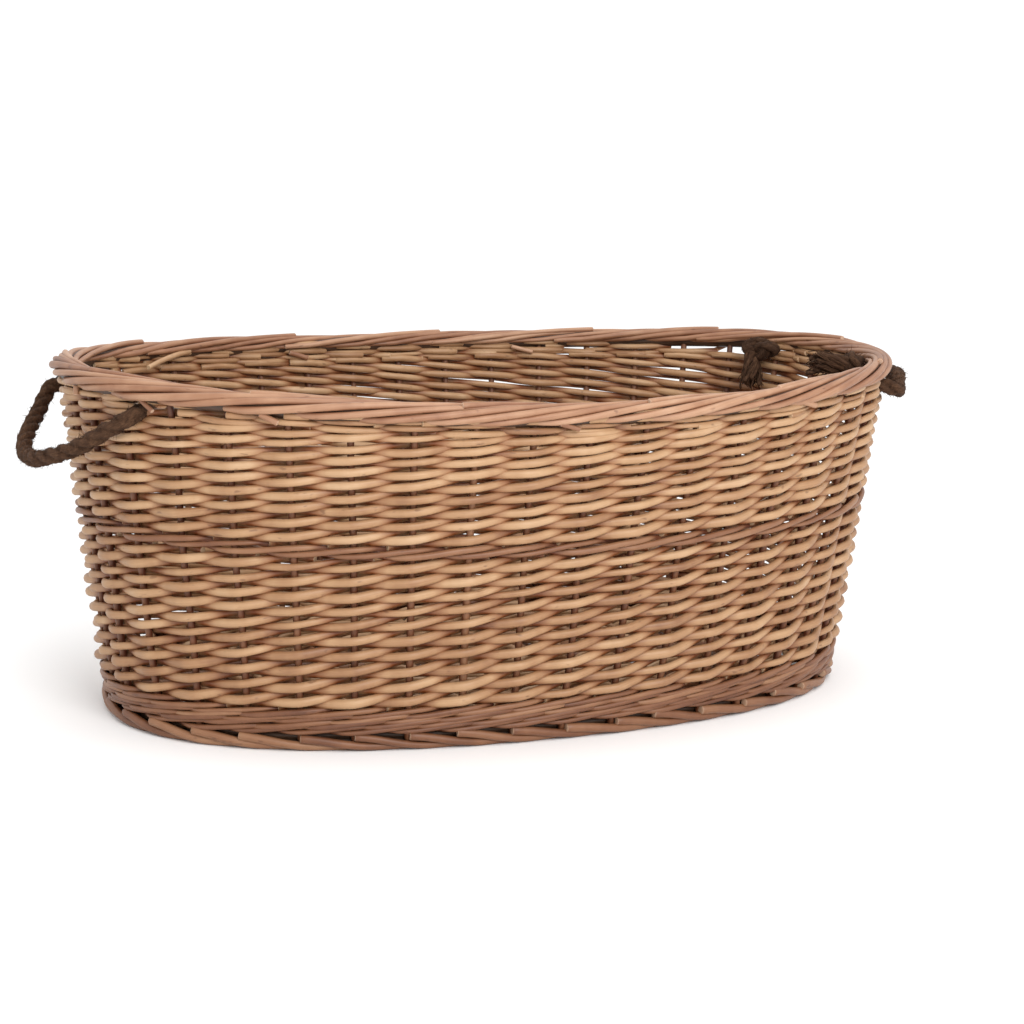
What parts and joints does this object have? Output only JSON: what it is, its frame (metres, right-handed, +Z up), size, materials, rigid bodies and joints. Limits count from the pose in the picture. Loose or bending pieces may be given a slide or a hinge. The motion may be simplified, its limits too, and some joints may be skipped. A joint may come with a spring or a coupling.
{
  "type": "wicker log basket",
  "caption": "Oval willow log basket with a woven wall on upright stakes, a woven base, a rolled rim and a swinging rope handle at each end.",
  "frame": {"origin": "middle of the overall box on the floor, 10.1 mm to the right of the middle of the wall's oval, because the right handle is stored further out than the left one", "axes": "+X along the basket's length towards the right handle, +Y across it, +Z up"},
  "size_m": [0.9588, 0.57, 0.355],
  "materials": {
    "buff_willow": "peeled buff willow, satin",
    "brown_willow": "steamed pink-brown willow, satin",
    "rope": "dark twisted coir rope, matt and hairy"
  },
  "bodies": {
    "basket": {"base_long_sticks": "brown_willow", "base_cross_sticks": "brown_willow", "base_weave_upper": "buff_willow", "base_weave_lower": "buff_willow", "wall_stakes": "brown_willow", "foot_core_ring": "brown_willow", "foot_border_rods": "brown_willow", "upsett_wale_1": "brown_willow", "upsett_wale_2": "brown_willow", "upsett_wale_3": "brown_willow", "upsett_wale_4": "brown_willow", "lower_row_1": "buff_willow", "lower_row_2": "buff_willow", "lower_row_3": "buff_willow", "lower_row_4": "buff_willow", "lower_row_5": "buff_willow", "lower_row_6": "buff_willow", "lower_row_7": "buff_willow", "lower_row_8": "buff_willow", "lower_row_9": "buff_willow", "lower_row_10": "buff_willow", "middle_wale_1": "brown_willow", "middle_wale_2": "brown_willow", "upper_row_1": "buff_willow", "upper_row_2": "buff_willow", "upper_row_3": "buff_willow", "upper_row_4": "buff_willow", "upper_row_5": "buff_willow", "upper_row_6": "buff_willow", "upper_row_7": "buff_willow", "upper_row_8": "buff_willow", "upper_row_9": "buff_willow", "top_course_front": "buff_willow", "top_course_back": "buff_willow", "top_course_left": "buff_willow", "top_course_right": "buff_willow", "rolled_border": "brown_willow", "left_front_lead": "rope", "left_front_knot": "rope", "left_front_tail": "rope", "left_back_lead": "rope", "left_back_knot": "rope", "left_back_tail": "rope", "right_front_lead": "rope", "right_front_knot": "rope", "right_front_tail": "rope", "right_back_lead": "rope", "right_back_knot": "rope", "right_back_tail": "rope"},
    "left_handle": {"left_handle_loop": "rope"},
    "right_handle": {"right_handle_loop": "rope"}
  },
  "joints": [
    {"name": "left_handle_swing", "type": "hinge", "parent": "basket", "child": "left_handle", "pos_m": [-0.42614, 0, 0.318], "axis": [0, 1, 0], "range_deg": [-25, 126]},
    {"name": "right_handle_swing", "type": "hinge", "parent": "basket", "child": "right_handle", "pos_m": [0.41586, 0, 0.318], "axis": [0, -1, 0], "range_deg": [-76, 46]}
  ]
}
